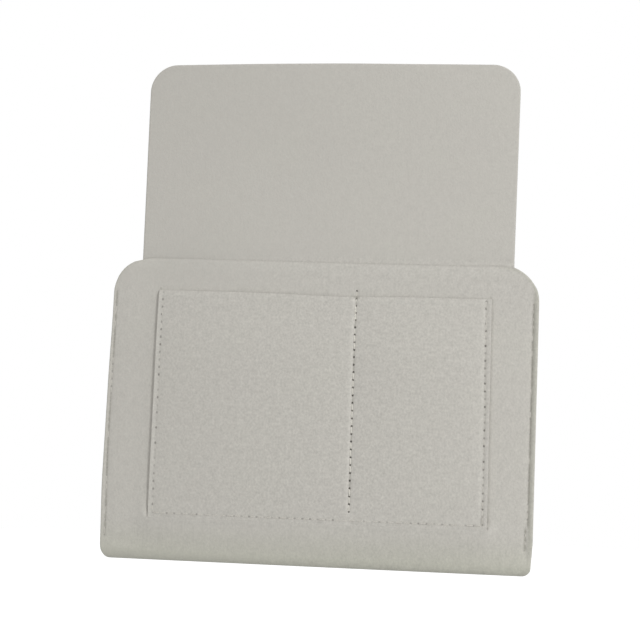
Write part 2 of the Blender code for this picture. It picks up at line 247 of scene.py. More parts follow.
sideCount = round((sideSeamTop - sideSeamBottom) / stitchPitch)
sidePitch = (sideSeamTop - sideSeamBottom) / sideCount
upCount = round((patchSeamTop - patchSeamBottom) / stitchPitch)
upPitch = (patchSeamTop - patchSeamBottom) / upCount
lowCount = round((patchSeamRight - patchSeamLeft) / stitchPitch)
lowPitch = (patchSeamRight - patchSeamLeft) / lowCount
quarterStitch = upPitch / 4

# Each seam: its line and stitches, how deep it draws the felt in, how far the thread's middle
# lies off the felt, the share of stitches that stay proud and how far the others sink, how
# dark the painted shadow in its needle holes is and how even, the painted shade along its
# thread's valley, and how its last stitches bend aside. What a seam doesn't say is as in seamBase.
seamBase = {
    "upright": True, "start": patchSeamTop, "pitch": upPitch, "count": upCount,
    "draw": 0.0008, "width": 0.0010, "level": -0.00030, "sink": 0.0004,
    "valleyShift": 0.0, "valleyWidth": 0.0008,
}
sideBase = {
    **seamBase, "start": sideSeamTop, "pitch": sidePitch, "count": sideCount,
    "pierce": 0.35, "even": 0.3, "valley": 0.85,
}
seams = {
    "leftSide": {
        **sideBase, "at": -sideSeams[0], "draw": 0.0005, "proud": 0.25, "sink": 0.0006,
        "bend": 0.0019, "bendStart": 0.078, "bendReach": 0.078,
    },
    "rightSide": {
        **sideBase, "at": sideSeams[1], "start": sideSeamTop - sidePitch * 2 / 3,
        "count": sideCount - 1, "draw": 0.0010, "width": 0.0012, "level": -0.00072,
        "proud": 0.20, "sink": 0.0003, "valleyShift": 0.0004,
        "bend": -0.0019, "bendStart": 0.019, "bendReach": 0.004,
    },
    "patchLeft": {
        **seamBase, "at": patchSeamLeft, "draw": 0.0002, "proud": 0.18, "sink": 0.0005,
        "pierce": 0.55, "even": 0.1, "valley": 0.06,
    },
    "divider": {
        **seamBase, "at": dividerX, "start": patchSeamTop + upPitch, "level": -0.00020,
        "proud": 0.40, "sink": 0.0007, "pierce": 1.2, "even": 0.7, "valley": 0.6,
        "valleyShift": 0.0001, "valleyWidth": 0.0005,
    },
    "patchRight": {
        **seamBase, "at": patchSeamRight, "width": 0.0012, "level": -0.00050, "proud": 0.30,
        "pierce": 0.70, "even": 0.2, "valley": 0.16, "valleyShift": 0.0003,
        "bend": 0.0005, "bendStart": 0.115, "bendReach": 0.030,
    },
    "patchFoot": {
        **seamBase, "upright": False, "at": patchSeamBottom + strayed["footSeam"],
        "start": patchSeamLeft, "pitch": lowPitch, "count": lowCount, "draw": 0.00005,
        "width": 0.0011, "level": -0.00028, "proud": 0.14, "pierce": 0.45, "even": 0.0,
        "valley": 0.04,
    },
}
backSeams = ("leftSide", "rightSide")
patchSeams = ("patchLeft", "divider", "patchRight", "patchFoot")
frontSeams = backSeams + patchSeams

# How stitches differ along any seam, the shares that stay where they differ most, and the
# numbers that tell one seam's choices from another's
stitching = {
    "holeShare": 0.25,
    "sinkSpread": 0.25,
    "valleyAtHole": 0.1,
    "valleyWhenProud": 0.3,
    "pierceSeed": 500,
    "sinkSeed": 1000,
}
toMillimetres = 1000  # the materials read distances from seams in millimetres


def bendOf(seam, z):  # how far a seam's last stitches bend aside
    if "bend" not in seam:
        return 0
    low = seam["start"] - seam["pitch"] * seam["count"]
    return seam["bend"] * ease((low + seam["bendStart"] - z) / seam["bendReach"])


def nearestSeam(x, z, names):  # the seam, the distance to it and how many stitches along it
    best = None
    for name in names:
        seam = seams[name]
        if seam["upright"]:
            off, run = x - seam["at"] - bendOf(seam, z), seam["start"] - z
        else:
            off, run = z - seam["at"], x - seam["start"]
        past = max(0, -run, run - seam["pitch"] * seam["count"])
        away = math.hypot(off, past)
        if best is None or away < best["away"]:
            best = {"seam": seam, "away": away, "off": off, "past": past,
                    "along": run / seam["pitch"]}
    return best


def drawnIn(mark):  # how far a seam draws the felt in, deeper at each needle hole
    seam = mark["seam"]
    groove = math.exp(-(mark["away"] / seam["width"]) ** 2)
    wave = math.cos(2 * math.pi * mark["along"])
    return seam["draw"] * groove * mix(1, wave, stitching["holeShare"])


def pierceAt(mark):  # how dark the painted shadow in the nearest needle hole is, which differs from hole to hole
    seam = mark["seam"]
    dark = mix(seam["even"], 1, chance(round(mark["along"]), seam["at"] * stitching["pierceSeed"]))
    return min(1, seam["pierce"] * dark)


def sunkAt(mark):  # 1 at the stitches that sank into the felt, 0 at those that lie on top
    seam = mark["seam"]
    drawn = chance(mark["along"], seam["at"] * stitching["sinkSeed"])
    return ease((drawn - seam["proud"]) / stitching["sinkSpread"])


def valleyAt(mark):  # 0 to 1: painted shade along each stitch's line, stronger where it sank
    seam = mark["seam"]
    if mark["past"] > 0:
        return 0
    beside = (mark["off"] - seam["valleyShift"]) / seam["valleyWidth"]
    between = mix(stitching["valleyAtHole"], 1, abs(math.sin(math.pi * mark["along"])))
    sunk = mix(stitching["valleyWhenProud"], 1, sunkAt(mark))
    return seam["valley"] * math.exp(-beside ** 2) * sunk * between


# Shape of the folded felt
def sideIndex(x):
    return 0 if x < 0 else 1


def wander(x, z, seed):
    size = blank["wanderSize"]
    return blank["wander"] * noise.noise(Vector((x / size, z / size, seed)))


def gapBetweenPlies(x, z):
    low = risen(z, sideSeamBottom, foldTop)
    high = risen(z, sideSeamTop, mouthZ)
    edge = mix(blank["pinch"], blank["foldEndGap"], low) + blank["shoulderGap"] * high
    mouth = risen(z, mouthZ - blank["mouthReach"], mouthZ)
    full = mix(blank["gap"], blank["mouthGap"], mouth)
    seam = sideSeams[sideIndex(x)]
    lip = risen(abs(x), seam, halfWidth)
    flare = blank["lipFlare"][sideIndex(x)] * lip * (1 - low)
    fullness = blank["fullness"][sideIndex(x)]
    return edge + flare + (full - edge) * plateau(x / seam, fullness)


def flapBow(x, z):
    across = plateau((x - flapMiddle) / flapHalf, blank["bowPower"])
    return blank["bow"] * risen(z, blank["bowStart"], flapTop) * across


def swell(x, z):  # the front ply stands out a little below the patch, which sank into it
    outside = max(patchLeft - x, x - patchRight)
    across = ease(1 - (outside + blank["swellInside"]) / blank["swellReach"])
    step = mix(blank["swellStep"], blank["swellRise"], clamp(outside / blank["swellTurn"]))
    behind = risen(z, patchBottom + step, patchBottom) * risen(z, foldTop, patchBottom)
    return blank["swell"] * across * behind


def frontFace(x, z):  # Y of the front ply's outer face
    uneven = plateau(x / rightSeamX, blank["wanderPower"]) * wander(x, z, blank["frontSeed"])
    return -2 * felt - gapBetweenPlies(x, z) + uneven - swell(x, z)


def innerFace(x, z):  # Y of the front ply's inner face
    return frontFace(x, z) + felt


def backFace(x, z):
    return 0


# A point in the middle of the felt; place is z, or the turn round the bottom fold
def middleOfFelt(x, part, place):
    if part == "flap":
        uneven = wander(x, place, blank["flapSeed"])
        return Vector((x, -felt / 2 - flapBow(x, place) + uneven, place))
    if part == "back":
        return Vector((x, -felt / 2, place))
    if part == "fold":
        reach = (frontFace(x, foldTop) + felt) / 2
        y = -felt / 2 + reach * (1 - math.cos(place))
        return Vector((x, y, foldTop - blank["foldHeight"] * math.sin(place)))
    return Vector((x, frontFace(x, place) + felt / 2, place))


def outwardOfFelt(x, part, place):  # the way the blank's outer side looks
    small = 1e-4
    across = middleOfFelt(x + small, part, place) - middleOfFelt(x - small, part, place)
    along = middleOfFelt(x, part, place + small) - middleOfFelt(x, part, place - small)
    normal = across.cross(along).normalized()
    return -normal if part in ("flap", "back") else normal


def arcHalf(z, top, radius, half):  # half width at height z under a rounded corner
    rise = clamp(z - (top - radius), 0, radius)
    return half - radius + math.sqrt(radius * radius - rise * rise)


def flapHalfAt(z, side):
    reach = (-flapLow.x, flapHigh.x)[side] - blank["flapTrim"][side]
    return reach + blank["flapFlare"][side] * max(0, z)


def sideInset(z, side):  # how far a side comes in, near the shoulder and the bottom corner
    height = blank["cornerHeight"][side]
    drop = clamp(bodyBottom + height - z, 0, height) / height
    corner = blank["cornerWidth"][side] * (1 - math.sqrt(1 - drop * drop))
    taper = risen(z, bodyBottom + blank["taperHeight"][side], bodyBottom)
    upper = risen(z, *blank["upperReach"]) * blank["upperTrim"][side]
    return corner + blank["cornerTaper"][side] * taper + blank["sideTrim"][side] + upper


def halfAt(part, place, side):  # half width of one row, to the left or right
    if part == "flap":
        return arcHalf(place, flapTop, blank["flapCornerRadius"], flapHalfAt(place, side))
    z = place
    if part == "fold":
        z = foldTop - (blank["foldHeight"] + felt / 2) * math.sin(place)
    half = arcHalf(z, mouthZ, blank["shoulderRadius"][side], halfWidth - sideInset(z, side))
    return max(half, flapHalfAt(0, side)) if part == "back" else half


def cornerDistance(x, z, top, radius, half):  # inwards from a sheet with rounded top corners
    over = abs(x) - (half - radius)
    rise = z - (top - radius)
    if over > 0 and rise > 0:
        return radius - math.hypot(over, rise)
    return min(half - abs(x), top - z)


def edgeDistance(x, part, place):
    side = sideIndex(x)
    if part == "flap":
        half = flapHalfAt(place, side)
        return cornerDistance(x, place, flapTop, blank["flapCornerRadius"], half)
    within = halfAt(part, place, side) - abs(x)
    if part == "fold":
        return within
    wide = halfWidth - sideInset(place, side)
    shoulder = cornerDistance(x, place, mouthZ, blank["shoulderRadius"][side], wide)
    if part == "back":
        neck = flapHalfAt(0, side) - abs(x)
        shoulder = neck if place > mouthZ - felt else max(shoulder, neck)
    return min(shoulder, within)


def settled(spot, onFront):
    lean = mix(settling["middleLean"], settling["sideLean"],
               risen(abs(spot.x), *settling["sideReach"]))
    lean = mix(settling["flapLean"], lean, ease(-spot.z / settling["leanFade"]))
    drop = 0
    if onFront:
        drop = settling["sag"] + settling["sagTilt"] * spot.x
        drop *= plateau(spot.x / halfWidth, settling["sagPower"])
        drop *= risen(spot.z, *settling["sagReach"])
        aside = (spot.x - dividerX - settling["pullAside"]) / settling["pullWidth"]
        above = spot.z - patchTop
        reach = settling["pullAbove"] if above > 0 else settling["pullDepth"]
        drop += settling["pull"] * math.exp(-aside ** 2) * ease(1 - abs(above) / reach)
    toRight = risen(spot.x, *settling["topDropReach"])
    drop += settling["topDrop"] * toRight * ease(spot.z / flapTop)
    return Vector((spot.x + lean * (spot.z - settling["level"]), spot.y, spot.z - drop))


# Rows and columns of the blank
def arcHeights(top, radius, firstTurn):  # rows that follow a rounded corner downwards
    return [top - radius + radius * math.sin(turn)
            for turn in spread(firstTurn, 0, blank["cornerStep"])]


def neckTurn(side):  # where the shoulder's arc meets the flap's edge
    radius = blank["shoulderRadius"][side]
    return math.acos((flapHalfAt(0, side) - halfWidth + radius) / radius)


def thinOut(places, least, kept):  # drop places that crowd a neighbour, but none in kept
    result = []
    same = 1e-7
    for place in sorted(places):
        fixed = any(abs(place - keep) < same for keep in kept)
        if result and place - result[-1] < least:
            if fixed:
                result[-1] = place
            continue
        result.append(place)
    return result


def blankRows():  # from the flap's top edge down, round the fold and up to the mouth
    crease = blank["creaseReach"]
    flap = arcHeights(flapTop, blank["flapCornerRadius"], math.pi / 2)
    flap += spread(flap[-1], crease, blank["rowStep"])[1:]
    flap += spread(crease, 0, blank["creaseStep"])[1:]

    radius = max(blank["shoulderRadius"])
    necks = sorted(mouthZ - arc * (1 - math.sin(neckTurn(side)))
                   for side, arc in enumerate(blank["shoulderRadius"]))
    shoulder = arcHeights(mouthZ, radius, min(neckTurn(0), neckTurn(1)))
    perStitch = blank["rowsPerStitch"]
    above = sideSeamTop + sidePitch / perStitch / 2
    low = [sideSeamTop - sidePitch * step / perStitch
           for step in range(perStitch * sideCount + 1)]
    low += spread(low[-1], foldTop, blank["rowStep"] / 2)[1:-1]
    back = spread(0, necks[1], blank["creaseStep"])[1:]
    back += [z for z in shoulder if z > above] + low

    foot = [patchBottom + blank["swellStep"] * step / 2 for step in range(3)]
    mouth = arcHeights(mouthZ, radius, math.pi / 2)
    mouth += spread(patchTop, seams["divider"]["start"] + quarterStitch, quarterStitch)
    mouth += [patchTop + blank["patchTopRow"]]
    rims = [mouthZ - away for away in blank["mouthRows"]]
    front = thinOut(low + foot, quarterStitch / 3, kept=[sideSeamTop] + foot)
    upper = thinOut(mouth + rims, quarterStitch / 2, kept=[mouthZ] + rims)
    front += [z for z in upper if z > above]

    fold = spread(0, math.pi, blank["foldStep"])
    parts = (("flap", flap), ("back", back), ("fold", fold), ("front", front))
    return [(part, place) for part, places in parts for place in places]


def blankColumns():  # as shares of the half width, closer together at seams and edges
    places = []
    for side, seam in ((-1, "leftSide"), (1, "rightSide")):
        places += [side * (halfWidth - away) for away in blank["edgeColumns"]]
        places += [seams[seam]["at"] - side * away for away in blank["seamColumns"]]
    for name in ("patchLeft", "divider", "patchRight"):
        places += [seams[name]["at"] + away for away in blank["patchColumns"]]
    for away in blank["patchEdgeColumns"]:
        places += [patchLeft + away, patchRight - away]
    kept = [-halfWidth, halfWidth]
    kept += [seam["at"] for seam in seams.values() if seam["upright"]]
    places = thinOut(places, blank["leastColumn"], kept)
    filled = [places[0]]
    for place in places[1:]:
        filled += spread(filled[-1], place, blank["columnStep"])[1:]
    return [place / halfWidth for place in filled]


def flatLengths(rows):  # how far each row lies from the flap's top edge in the flat felt
    lengths = [0]
    for before, after in zip(rows, rows[1:]):
        step = middleOfFelt(0, *after) - middleOfFelt(0, *before)
        lengths.append(lengths[-1] + step.length)
    return lengths


def meshObject(name, shape, material):
    mesh = bpy.data.meshes.new(name)
    shape.to_mesh(mesh)
    shape.free()
    mesh.shade_smooth()
    mesh.materials.append(material)
    return newObject(name, mesh)


def flatPlate(columns, rows):  # a thin felt plate of so many columns and rows
    shape = bmesh.new()
    bmesh.ops.create_grid(shape, x_segments=columns - 1, y_segments=rows - 1, size=1)
    bmesh.ops.solidify(shape, geom=shape.faces[:], thickness=1)
    return shape


def plateIndex(vert, columns, rows):
    column = round((vert.co.x + 1) / 2 * (columns - 1))
    row = round((1 - vert.co.y) / 2 * (rows - 1))
    return clamp(column, 0, columns - 1), clamp(row, 0, rows - 1)


def rounded(distance, reach, share):  # 1 inside a sheet, down to share at its rounded edge
    inwards = clamp(distance / reach)
    return mix(share, 1, math.sqrt(1 - (1 - inwards) ** 2))


def thinned(distance, depth, reach):  # how far the outer face comes in towards an edge
    return depth * (1 - ease(distance / reach))


# Painted shade, a little greener too: the pressed lips outside the side seams, the shoulders'
# rims and the felt towards the bottom left are painted a little darker and greener than the rest
shadeTinting = {
    "side": (0.15, 0.65),
    "sideReach": 0.0012,
    "seamEndReach": 0.010,
    "rim": (0.5, 0.8),
    "rimReach": 0.0030,
    "foot": (0.95, 1.0),
    "footReach": 0.034,
}


def shadeTintAt(x, part, place):
    side = sideIndex(x)
    foot = mix(*shadeTinting["foot"], clamp((x + halfWidth) / (2 * halfWidth)))
    if part == "fold":
        return foot
    if part == "flap":
        return 0
    outside = ease((abs(x) - sideSeams[side]) / shadeTinting["sideReach"]) * shadeTinting["side"][side]
    outside *= ease(1 - (place - sideSeamTop) / shadeTinting["seamEndReach"])
    rim = 0
    nearShoulder = abs(x) > halfWidth - max(blank["shoulderRadius"])
    if part == "front" and place > sideSeamTop and nearShoulder:
        rim = ease(1 - edgeDistance(x, part, place) / shadeTinting["rimReach"]) * shadeTinting["rim"][side]
    low = risen(place, bodyBottom + shadeTinting["footReach"], bodyBottom)
    return max(outside, rim, foot * low)


# How calm the grain is: fainter on the flap, towards the left and towards the upper left
calming = {
    "flap": 1.0,
    "most": 1.3,
    "left": 0.40,
    "start": 0.25,
    "upper": 0.80,
    "upperSlope": 2,
    "patchRight": 0.30,
}


def calmAt(x, z, part):
    side = clamp(calming["start"] - x / halfWidth)
    calm = calming["left"] * side
    if part == "flap":
        return min(calming["most"], calming["flap"] + calm)
    if part == "patch":
        return calm + calming["patchRight"] * ease(x / halfWidth)
    upper = calming["upper"] * ease(-calming["upperSlope"] * x / halfWidth)
    return calm + upper * ease((z - patchTop) / stitchPitch)


def nearness(spot, x, z):  # 1 in the middle of a spot, or along a line, and less away from it
    away = 0
    if "x" in spot:
        away += ((x - spot["x"] - spot.get("aside", 0)) / spot["wide"]) ** 2
    if "z" in spot:
        away += ((z - spot["z"] - spot.get("above", 0)) / spot["high"]) ** 2
    return math.exp(-away)


# Painted shadow where thread pulls on the felt at the patch's top edge: under the divider's
# first stitch and just above the two corners
cornerNotchShadow = {"z": patchTop + quarterStitch, "wide": 0.0006, "high": 0.0006, "dark": 0.55}
notchShadows = (
    {"x": dividerX, "z": patchTop, "above": -0.0004, "wide": 0.0019, "high": 0.0008, "dark": 0.8},
    {**cornerNotchShadow, "x": patchLeft, "aside": 0.0012},
    {**cornerNotchShadow, "x": patchRight, "aside": -0.0005},
)


def notchShadowAt(x, z):
    return max(notch["dark"] * nearness(notch, x, z) for notch in notchShadows)


# Painted light and shade: where a piece is painted a little lighter or darker than its shape
# alone would make it, as painted highlights at rims and beside seams and painted shadows along
# edges and round the mouth; along a line or in a spot, which lies "aside" or "above" by so much,
# and from the lowest to the highest x or z in "within"
patchSpan = (patchLeft, patchRight)
patchRise = (patchBottom, patchTop)
paintedShades = {
    "above": (
        {"z": mouthZ, "high": 0.012, "by": -0.014},
        {"z": mouthZ, "high": 0.0015, "by": 0.040},
        {"x": -0.105, "wide": 0.035, "z": mouthZ, "high": 0.030, "by": -0.020},
    ),
    "front": (
        {"z": mouthZ, "high": 0.009, "by": -0.012},
        {"z": mouthZ, "high": 0.0012, "by": 0.050},
        {"x": -0.105, "wide": 0.035, "z": mouthZ, "high": 0.020, "by": -0.030},
        {"z": patchBottom, "above": -0.0009, "high": 0.0014, "by": -0.075, "withinX": patchSpan},
        {"x": patchRight, "aside": 0.0004, "wide": 0.0008, "by": -0.100, "withinZ": patchRise},
        {"x": patchRight, "aside": 0.0026, "wide": 0.0016, "by": 0.045, "withinZ": patchRise},
        {"x": patchLeft, "wide": 0.0030, "by": 0.060, "withinZ": patchRise},
        {"x": rightSeamX, "aside": -0.0023, "wide": 0.0012, "by": 0.020},
        {"x": -halfWidth, "wide": 0.0030, "by": 0.040},
        {"x": (patchLeft - halfWidth) / 2, "wide": 0.014, "by": 0.026},
        {"x": 0.090, "wide": 0.050, "z": bodyBottom, "above": 0.018, "high": 0.026, "by": -0.012},
    ),
    "patch": (
        {"z": patchTop, "above": -0.0035, "high": 0.0030, "by": -0.012},
        {"z": patchBottom, "high": 0.0030, "by": -0.010},
        {"x": patchLeft, "aside": 0.0013, "wide": 0.0017, "by": 0.080},
        {"x": dividerX, "aside": -0.0017, "wide": 0.0011, "by": 0.100},
        {"x": dividerX, "aside": 0.0011, "wide": 0.0008, "by": 0.050},
        {"x": patchSeamRight, "aside": -0.0019, "wide": 0.0010, "by": 0.055},
    ),
}


def insideSpan(place, low, high):  # 1 well inside the span, 0 outside it
    half = stitchPitch / 2
    return risen(place, low - half, low + half) * risen(place, high + half, high - half)


def paintedLightAt(x, z, piece):
    total = 0
    for spot in paintedShades[piece]:
        share = spot["by"] * nearness(spot, x, z)
        if "withinX" in spot:
            share *= insideSpan(x, *spot["withinX"])
        if "withinZ" in spot:
            share *= insideSpan(z, *spot["withinZ"])
        total += share
    return total


def seamMarks(mark, shade):  # what the felt's material reads along a seam
    return {"acrossSeam": mark["away"] * toMillimetres, "alongSeam": mark["along"],
            "pierce": pierceAt(mark), "valley": shade}


def makeSheet(name, columns, rows, vertexAt, material):  # vertexAt says where a vertex goes
    shape = flatPlate(len(columns), len(rows))
    middle = sum(vert.co.z for vert in shape.verts) / len(shape.verts)
    flat = shape.loops.layers.uv.new("flatFelt")
    layers = {layer: shape.verts.layers.float.new(layer) for layer in (
        "acrossSeam", "alongSeam", "pierce", "valley", "tint", "calm", "lighter")}
    for vert in shape.verts:
        column, row = plateIndex(vert, len(columns), len(rows))
        vert.co, uv, marks = vertexAt(columns[column], rows[row], vert.co.z > middle)
        for layer, value in marks.items():
            vert[layers[layer]] = value
        for loop in vert.link_loops:
            loop[flat].uv = uv
    bmesh.ops.recalc_face_normals(shape, faces=shape.faces)
    return meshObject(name, shape, material)


seamsOf = {"back": backSeams, "front": frontSeams}


def blankVertex(column, row, outer):  # its place, its place in the flat felt, and its marks
    (part, place), length = row
    x = column * halfAt(part, place, sideIndex(column))
    mouthSide = part == "front" and place > sideSeamTop
    share = blank["mouthRimShare"] if mouthSide else blank["rimShare"]
    thick = felt / 2 * rounded(edgeDistance(x, part, place), blank["edgeRound"], share)
    if part == "front" and outer:
        thick -= thinned(mouthZ - place, blank["mouthThin"], blank["mouthThinReach"])
    farAway = toMillimetres  # a metre
    marks = {"acrossSeam": farAway, "tint": shadeTintAt(x, part, place), "calm": calmAt(x, place, part)}
    if part in seamsOf:
        mark = nearestSeam(x, place, seamsOf[part])
        if outer:
            thick -= drawnIn(mark)
        shade = max(valleyAt(mark), notchShadowAt(x, place)) if part == "front" else 0
        marks.update(seamMarks(mark, shade))
    if part != "fold":
        marks["lighter"] = paintedLightAt(x, place, "front" if part == "front" else "above")
    spot = middleOfFelt(x, part, place)
    spot += outwardOfFelt(x, part, place) * (thick if outer else -thick)
    return settled(spot, part == "front"), (x + halfWidth, length), marks


# The patch pocket, sewn on along its sides, its foot and one divider
patch = {
    "puff": 0.0022,
    "puffPower": (2, 4),
    "puffDownPower": 3,
    "mouthShare": 0.35,
    "mouthReach": 0.060,
    "clearance": 0.0001,
    "edgeRound": 0.0005,
    "rimShare": 0.50,
    "topThin": 0.0016,
    "topReach": 0.0045,
    "footThin": 0.0007,
    "footReach": 0.0320,
    "footDive": 0.00022,
    "diveReach": 0.0040,
    "footRound": 0.0004,
    "footRimShare": 0.80,
    "edgePlaces": (0, 0.0002, 0.00045, 0.0007, 0.0012, 0.0020, 0.0030),
    "columnsPerStitch": 4,
    "rowsPerStitch": 4,
    "leastStep": 0.0002,
    "seamStep": 0.0007,
}


def patchPuff(x, z):
    left = patchSeamLeft if x < dividerX else dividerX
    right = dividerX if x < dividerX else patchSeamRight
    across = (x - (left + right) / 2) / ((right - left) / 2)
    down = (patchTop - z) / (patchTop - patchSeamBottom)
    power = patch["puffPower"][sideIndex(across)]
    full = plateau(across, power) * plateau(down, patch["puffDownPower"])
    mouth = mix(patch["mouthShare"], 1, ease((patchTop - z) / patch["mouthReach"]))
    return patch["puff"] * full * mouth


def patchBack(x, z):  # Y of the patch's inner face; its foot is pressed into the ply behind
    dive = thinned(z - patchBottom, patch["footDive"], patch["diveReach"])
    return frontFace(x, z) - patch["clearance"] - patchPuff(x, z) + dive


def patchFace(x, z):  # Y of the patch's outer face
    return patchBack(x, z) - felt


def patchThickness(x, z):
    away = min(x - patchLeft, patchRight - x, patchTop - z)
    top = thinned(patchTop - z, patch["topThin"], patch["topReach"])
    foot = thinned(z - patchBottom, patch["footThin"], patch["footReach"])
    rim = min(rounded(away, patch["edgeRound"], patch["rimShare"]),
              rounded(z - patchBottom, patch["footRound"], patch["footRimShare"]))
    return (felt - top - foot - swell(x, z)) * rim


def patchPlaces(first, last, low, high, pitch):  # in step with the stitches between its seams
    edges = [low + away for away in patch["edgePlaces"]]
    edges += [high - away for away in patch["edgePlaces"]]
    near = pitch / 2
    return spread(first, last, pitch) + [place for place in edges
                                         if place < first - near or place > last + near]


def patchColumns():
    pitch = lowPitch / patch["columnsPerStitch"]
    places = patchPlaces(patchSeamLeft, patchSeamRight, patchLeft, patchRight, pitch)
    lines = [seams[name]["at"] for name in ("patchLeft", "divider", "patchRight")]
    places += [line + away for line in lines for away in (-patch["seamStep"], 0, patch["seamStep"])]
    return thinOut(places, patch["leastStep"], kept=lines + [patchLeft, patchRight])


def patchRows():
    pitch = upPitch / patch["rowsPerStitch"]
    places = patchPlaces(patchSeamBottom, patchSeamTop, patchBottom, patchTop, pitch)
    places += [patchSeamBottom + away for away in (-patch["seamStep"], patch["seamStep"])]
    return thinOut(places, patch["leastStep"],
                   kept=[patchSeamBottom, patchBottom, patchTop])[::-1]


def patchVertex(x, z, outer):
    mark = nearestSeam(x, z, patchSeams)
    y = patchBack(x, z)
    if outer:
        y += drawnIn(mark) - patchThickness(x, z)
    marks = seamMarks(mark, max(valleyAt(mark), notchShadowAt(x, z)))
    marks.update({"calm": calmAt(x, z, "patch"), "lighter": paintedLightAt(x, z, "patch")})
    return settled(Vector((x, y, z)), True), (x - patchLeft, patchTop - z), marks


# Thread: each stitch dives at both ends, and a few are sewn back over each seam's ends
threadShape = {
    "dip": 0.0014,
    "dipPower": 3.5,
    "slant": 0.00014,
    "slantShares": (0.4, 1.6),
    "slantSeed": 1000,
    "shares": (0, 0.03, 0.08, 0.17, 0.32, 0.5, 0.68, 0.83, 0.92, 0.97),
    "bobbinLevel": -0.00010,
    "tackStitches": 3,
    "tackAside": 0.00045,
    "tackRise": 0.00015,
    "roundness": 2,
    "weld": 1e-6,
}


def stitchPoints(holes, face, names, rise=0):  # a thread on a face; holes are (x, z)
    points = []
    for index, (start, end) in enumerate(zip(holes, holes[1:])):
        run = Vector(end) - Vector(start)
        aside = Vector((run.y, -run.x)).normalized() * threadShape["slant"]
        drawn = chance(index, start[0] * threadShape["slantSeed"])
        aside *= mix(*threadShape["slantShares"], drawn)
        for share in threadShape["shares"]:
            spot = Vector(start) + run * share + aside * math.cos(math.pi * share)
            points.append(threadPoint(spot, share, face, names, rise))
    points.append(threadPoint(Vector(holes[-1]), 1, face, names, rise))
    return points


def threadPoint(spot, share, face, names, rise):
    outward = 1 if face in (backFace, innerFace) else -1
    level = threadShape["bobbinLevel"]
    if outward < 0:
        mark = nearestSeam(spot.x, spot.y, names)
        level = mark["seam"]["level"] - mark["seam"]["sink"] * sunkAt(mark)
    level += rise - threadShape["dip"] * abs(2 * share - 1) ** threadShape["dipPower"]
    place = Vector((spot.x, face(spot.x, spot.y) + outward * level, spot.y))
    return settled(place, face is not backFace)


def holesOf(name):
    seam = seams[name]
    steps = [seam["pitch"] * index for index in range(seam["count"] + 1)]
    if seam["upright"]:
        heights = [seam["start"] - step for step in steps]
        return [(seam["at"] + bendOf(seam, z), z) for z in heights]
    return [(seam["start"] + step, seam["at"]) for step in steps]


def backTack(holes, face, names, aside):  # a few stitches back over the first ones
    count = threadShape["tackStitches"]
    shifted = []
    for start, end in zip(holes[:count + 1], holes[1:count + 2]):
        run = Vector(end) - Vector(start)
        sideways = Vector((run.y, -run.x)).normalized() * aside
        shifted.append(tuple(Vector(start) + run / 2 + sideways))
    return stitchPoints(shifted, face, names, threadShape["tackRise"])


def sewnRuns(holes, face, names, sides=()):  # a seam, tacked at its start and end on these sides
    runs = [stitchPoints(holes, face, names)]
    for way, side in zip((holes, holes[::-1]), sides):
        runs.append(backTack(way, face, names, side * threadShape["tackAside"]))
    return runs


def dividerStart(holes):  # on the front ply, down to where it dives at the patch's top edge
    dive = (holes[0][0], patchTop + threadRadius)
    return stitchPoints([holes[0], dive], frontFace, frontSeams)


def makeThread(name, runs, material):  # one thread as a mesh, from its runs of points
    curve = bpy.data.curves.new(name, "CURVE")
    curve.dimensions = "3D"
    curve.bevel_depth = threadRadius
    curve.bevel_resolution = threadShape["roundness"]
    curve.use_fill_caps = True
    for points in runs:
        spline = curve.splines.new("POLY")
        spline.points.add(len(points) - 1)
        for point, place in zip(spline.points, points):
            point.co = (*place, 1)
    source = newObject(name + "_line", curve)
    bpy.context.view_layer.update()
    depsgraph = bpy.context.evaluated_depsgraph_get()
    mesh = bpy.data.meshes.new_from_object(source.evaluated_get(depsgraph))
    bpy.data.objects.remove(source, do_unlink=True)
    shape = bmesh.new()
    shape.from_mesh(mesh)
    bpy.data.meshes.remove(mesh)
    bmesh.ops.remove_doubles(shape, verts=shape.verts, dist=threadShape["weld"])
    bmesh.ops.recalc_face_normals(shape, faces=shape.faces)
    return meshObject(name, shape, material)


def makeThreads(paleThread, sunkThread):
    runs = {}
    for seam, word, side in (("leftSide", "left", 1), ("rightSide", "right", -1)):
        for kind, face in (("needle", frontFace), ("bobbin", backFace)):
            runs[word + "_seam_" + kind + "_thread"] = sewnRuns(
                holesOf(seam), face, backSeams, (side, -side))
    path = holesOf("patchLeft") + holesOf("patchFoot")[1:] + holesOf("patchRight")[::-1][1:]
    runs["patch_seam_needle_thread"] = sewnRuns(path, patchFace, patchSeams, (-1, -1))
    runs["patch_seam_bobbin_thread"] = sewnRuns(path, innerFace, patchSeams)
    holes = holesOf("divider")
    dividerRuns = sewnRuns(holes[1:], patchFace, patchSeams, (1,))
    dividerRuns[0] = dividerStart(holes) + dividerRuns[0]
    runs["divider_needle_thread"] = dividerRuns
    runs["divider_bobbin_thread"] = sewnRuns(holes, innerFace, patchSeams)
    return {node: makeThread("sewn_" + node, lines,
                             paleThread if node.startswith("divider") else sunkThread)
            for node, lines in runs.items()}


# Materials
def newTree(name):
    material = bpy.data.materials.new(name)
    material.use_nodes = True
    tree = material.node_tree
    return material, tree, tree.nodes["Principled BSDF"]


def setSockets(tree, node, values):  # each socket gets a constant or a link
    for name, value in values.items():
        if isinstance(value, bpy.types.NodeSocket):
            tree.links.new(value, node.inputs[name])
        else:
            node.inputs[name].default_value = value


def addNode(tree, kind, values, **settings):  # settings first: some sockets depend on them
    node = tree.nodes.new("ShaderNode" + kind)
    for name, value in settings.items():
        setattr(node, name, value)
    setSockets(tree, node, values)
    return node


def addMath(tree, operation, *values):
    return addNode(tree, "Math", dict(enumerate(values)), operation=operation).outputs[0]


